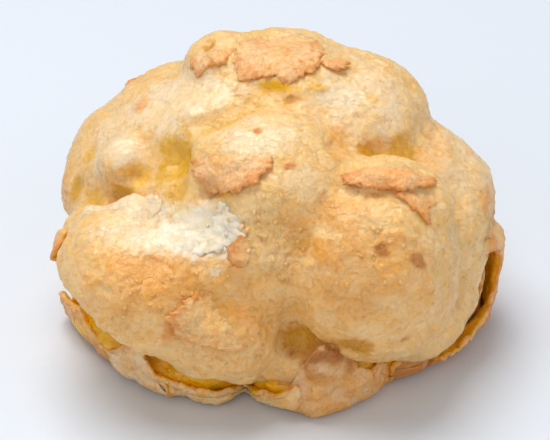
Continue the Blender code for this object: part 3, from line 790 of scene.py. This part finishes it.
# --- Crust -----------------------------------------------------------------------------------
# Where the skin of the dough baked first it stiffened, split and peeled, and stands off
# the bun as thin ragged flakes.  Each is stuck down on one side and free on the other.
Flake = namedtuple("Flake", "centre along half_sizes thickness stuck free ragged peel tint")
FLAKES = {
    # centre in mm, direction of its length, half its length and breadth, thickness,
    # how high its stuck and its free side stand over the dough, how ragged it is,
    # which way its free side lies along its length and breadth, and its tint
    "crown_cap": Flake((-0.4, 1.6, 53.2), (1, 0, 0), (7.8, 6.8), 0.6, -0.3, 0.35, 0.2,
                       (0.2, -1), "apricot"),
    "crown_left": Flake((-11.2, 2.6, 51.9), (0.8, 0.6, 0), (4.8, 3.6), 0.6, -0.9, 0.3, 0.2,
                        (-0.6, -0.8), "apricot"),
    "crown_curl": Flake((8.3, 0.4, 51), (1, -0.2, 0), (3.0, 1.8), 0.6, -0.4, 0.7, 0.4,
                        (0.8, -0.6), "peach"),
    "centre_crust": Flake((-8.5, -21.4, 45.2), (1, 0, 0.15), (7.4, 5.2), 0.7, -0.9, 0.9, 0.22,
                          (-0.2, -1), "apricot"),
    "right_crust": Flake((17.6, -21.1, 43.7), (1, 0.05, -0.12), (7.6, 3.8), 0.7, -0.9, 0.9,
                         0.28, (0, -1), "peach"),
    "right_tail": Flake((22.9, -24.4, 40.3), (0.5, -0.5, -0.8), (4.4, 3.0), 0.6, -0.6, 0.25,
                        0.35, (0.3, -0.9), "peach"),
    "chin_plate": Flake((-10.0, -34, 21.6), (1, 0, -0.15), (8.6, 5.2), 0.8, -1.2, 0.9, 0.2,
                        (-1, -0.5), "straw"),
    "low_bit": Flake((-6.3, -29.2, 32.4), (0.2, 0, 1), (2.8, 1.9), 1.0, -0.5, 0.8, 0.3,
                     (-0.6, 0.8), "toast"),
    "torn_skin": Flake((-14, -24.5, 34.6), (1, -0.1, -0.2), (8.5, 5), 0.5, -1.0, 0.0, 0.25,
                       (1, -0.2), "white"),
    "cheek_edge": Flake((-27, -17.5, 32.6), (1, -0.35, 0.05), (7.5, 3.2), 0.9, -1.3, 1.0, 0.2,
                        (0, 1), "cream"),
    "left_tip": Flake((-37, -13, 23), (0.1, -0.3, -1), (2.8, 2.0), 0.9, 0.3, 2.2, 0.2, (1, 0),
                      "peach"),
    "flank_flake": Flake((37.2, -8, 22), (0, 0.3, -1), (4.4, 2.6), 0.9, -0.4, 1.6, 0.2, (1, 0),
                         "apricot"),
    "flank_strip": Flake((35.0, -11.5, 22.0), (1, 0.3, -0.1), (2.8, 1.3), 0.7, -0.6, 0.9, 0.3,
                         (1, 0), "peach"),
    "right_back_crust": Flake((33, 14, 27), (0.3, 1, 0), (5.5, 3.4), 0.7, -0.9, 0.8, 0.3,
                              (0, -1), "peach"),
    "back_low_crust": Flake((4, 35, 18), (1, 0, 0), (7, 4), 0.7, -0.9, 0.9, 0.3, (0, -1),
                            "straw"),
    "back_left_crust": Flake((-24, 20, 33), (0.7, 0.7, 0), (6, 3.6), 0.7, -0.9, 0.9, 0.3,
                             (-0.3, 1), "peach"),
    "back_crust": Flake((9, 22, 40), (1, 0, 0), (7, 4.5), 0.7, -0.9, 0.8, 0.3, (0, 1),
                        "apricot"),
}
FLAKE_STEP = 0.28  # mm between the points of a flake
FLAKE_EDGE = 0.12  # share of a flake's reach over which its edge is rounded
FLAKE_WANDER = 0.35  # mm, how unevenly a flake stands off the dough
FLAKE_RELIEF = 0.15  # mm
ABOVE = 12.0  # mm over the dough from which a flake is laid down on it
LEVEL_ROUNDS = 3  # times that the way the dough faces is evened out under a flake
LEVEL_REACH = 3  # mm round its middle, over which it is
AXES = ((1, 0, 0), (-1, 0, 0), (0, 1, 0), (0, -1, 0), (0, 0, 1), (0, 0, -1))


def on_the_form(place, down):
    """Where a straight line down from a place meets the dough, in mm."""
    hit = form.ray_cast(Vector(place) * MM, down)[0]
    if hit is None:
        hit = form.find_nearest(Vector(place) * MM)[0]
    return np.array(hit) / MM


def facing_at(place):
    """The nearest point of the dough to a place in mm, and which way the dough faces there."""
    nearest, out, _, _ = form.find_nearest(Vector(place) * MM)
    for _ in range(LEVEL_ROUNDS):
        around = (form.find_nearest(nearest + Vector(axis) * LEVEL_REACH * MM)[1] for axis in AXES)
        out = sum(around, out).normalized()
    return nearest, out


def as_disc(along, across):
    """Spreads a square block over a round disc, from -1 to 1 each way."""
    x, y = 2 * along - 1, 2 * across - 1
    return x * np.sqrt(1 - y * y / 2), y * np.sqrt(1 - x * x / 2)


for name, flake in FLAKES.items():
    nearest, out = facing_at(flake.centre)
    along_axis = (Vector(flake.along) - out * out.dot(Vector(flake.along))).normalized()
    across_axis = out.cross(along_axis)

    def middle_of(along, across):
        x, y = as_disc(along, across)
        reach = np.sqrt(x * x + y * y)
        angle = np.arctan2(y, x)
        ring = np.column_stack((np.cos(angle), np.sin(angle), 0 * angle))
        torn = waves(ring, 1.5, 4, flake.centre)
        torn += 0.3 * waves(ring, 5.0, 3, flake.centre)
        torn += 0.3 * waves(ring, 13.0, 2, flake.centre)
        grown = 1 + flake.ragged * torn * reach * reach
        sideways = x * grown * flake.half_sizes[0]
        updown = y * grown * flake.half_sizes[1]
        start = np.array(nearest) / MM + np.outer(sideways, along_axis)
        start += np.outer(updown, across_axis)
        start += np.array(out) * ABOVE
        laid = np.array([on_the_form(place, -out) for place in start])
        peeled = smooth_step(0.5 + 0.7 * (x * flake.peel[0] + y * flake.peel[1]))
        stand = flake.stuck + (flake.free - flake.stuck) * peeled
        stand = stand + FLAKE_WANDER * waves(laid, 0.35, 3, (4, 4, 4))
        return laid + np.outer(stand, np.array(out))

    def thickness_of(along, across):
        x, y = as_disc(along, across)
        return flake.thickness * near_edge(1 - np.sqrt(x * x + y * y), FLAKE_EDGE)

    columns = int(2 * flake.half_sizes[0] / FLAKE_STEP)
    rows = int(2 * flake.half_sizes[1] / FLAKE_STEP)
    piece, along, across, side = thin_piece(name, columns, rows, middle_of, thickness_of)
    places = places_of(piece)
    wander_wide = waves(places, 0.3, 3, (6, 1, 3))
    wander_fine = waves(places, 0.9, 4, (2, 8, 4))
    x, y = as_disc(along, across)
    reach = np.sqrt(x * x + y * y)

    # Where it is stuck down it is like the dough, and where it peels it has its own tint,
    # paler in its middle, toasted at its edge, and painted amber underneath as the shade below it.
    colours, crumb = baked_and_shaded(places, STAIN_AND_SHADE_WANDER_FINE * wander_fine)
    free_side = x * flake.peel[0] + y * flake.peel[1]
    peeled = smooth_step(0.9 + 0.9 * free_side + 0.8 * wander_wide)
    edge = smooth_step((reach - 0.75 + 0.5 * wander_fine) / 0.3)
    blend(colours, flake.tint, 0.9 * np.maximum(peeled, 0.8 * (flake.tint == "white")))
    if flake.tint not in ("white", "cream"):
        blend(colours, "straw", smooth_step(0.8 - reach + 0.8 * wander_wide) * 0.5)
        blend(colours, "toast", peeled * edge * 0.8)
        blend(colours, "toast", peeled * smooth_step(0.2 - 2.0 * wander_fine) * 0.3)
        crumb = np.clip(0.3 + 0.4 * peeled + 0.4 * wander_wide, 0, 1)
    # Painted shade: the underside is amber.
    blend(colours, "amber_shade", smooth_step(-side))
    keep_paint(piece, colours, crumb)
    move_to(piece, places + normals_of(piece) * (FLAKE_RELIEF * wander_fine)[:, None])
    piece.data.shade_smooth()
    piece.data.materials.append(crust)
    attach(piece, "root")


# --- Crumbs ------------------------------------------------------------------------------------
# Small chips of dried dough cling all over the skin, most of them where it tore.  Each is
# a flattened grain, half sunk in the skin.
# A scatter is a place with its half sizes in mm, how many chips it holds, how large they
# are next to the usual chip, and their tint.
Scatter = namedtuple("Scatter", "centre half_sizes count size tint")
SCATTERS = {
    "left_cheek": Scatter((-18, -31, 27), (12, 6, 6), 30, 0.8, "straw"),
    "right_cheek": Scatter((17, -32, 31), (12, 6, 8), 30, 0.8, "straw"),
    "between": Scatter((-2, -28, 33), (8, 6, 9), 40, 0.9, "straw"),
    "torn_end": Scatter((-9, -27, 34), (4, 4, 5), 20, 0.9, "white"),
    "chin": Scatter((-10, -33, 18), (11, 6, 8), 25, 0.8, "straw"),
    "back": Scatter((0, 28, 26), (30, 14, 18), 80, 0.8, "straw"),
}
CHIP_LENGTH = (0.3, 0.7)  # mm, half the length of a chip
CHIP_BREADTH = 0.7  # share of its length
CHIP_THICKNESS = 0.45  # share of its length
CHIP_LUMPS = 0.5  # how lumpy a chip is, as a share of its radius
CHIP_TINT = 0.3  # how much of a chip's colour is its own and not the dough's under it
CHIP_CRUMB = 0.5

draw = np.random.default_rng(8)


def spot_in(scatter):
    """A place on the skin drawn inside a scatter, in mm, and the way out from it."""
    spread = draw.normal(size=3)
    spread *= draw.uniform() ** 0.4 / np.linalg.norm(spread)
    aim = Vector(np.array(scatter.centre) + spread * np.array(scatter.half_sizes)) * MM
    spot, out, _, _ = skin.find_nearest(aim)
    return spot / MM, out


chips = bmesh.new()
chip_tints = []
for scatter in SCATTERS.values():
    for _ in range(scatter.count):
        spot, out = spot_in(scatter)
        length = draw.uniform(*CHIP_LENGTH) * scatter.size
        turn = out.to_track_quat("Z", "Y").to_matrix().to_4x4()
        turn = turn @ Matrix.Rotation(draw.uniform(0, math.pi), 4, "Z")
        size = Matrix.Diagonal((length, CHIP_BREADTH * length, CHIP_THICKNESS * length, 1.0))
        place = Matrix.Translation(spot) @ turn @ size
        made = bmesh.ops.create_uvsphere(chips, u_segments=7, v_segments=5, radius=1.0)
        for vertex in made["verts"]:
            lumpy = 1 + CHIP_LUMPS * noise.noise(1.5 * vertex.co + spot)
            vertex.co = (place @ (lumpy * vertex.co)) * MM
        chip_tints += [scatter.tint] * len(made["verts"])
crumbs = as_object(chips, "crumbs")
colours, _ = baked_and_shaded(places_of(crumbs), 0)
tints = np.array([TINTS[tint] for tint in chip_tints])
colours += (tints - colours) * CHIP_TINT
keep_paint(crumbs, colours, np.full(len(colours), CHIP_CRUMB))
crumbs.data.shade_smooth()
crumbs.data.materials.append(crust)
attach(crumbs, "root")
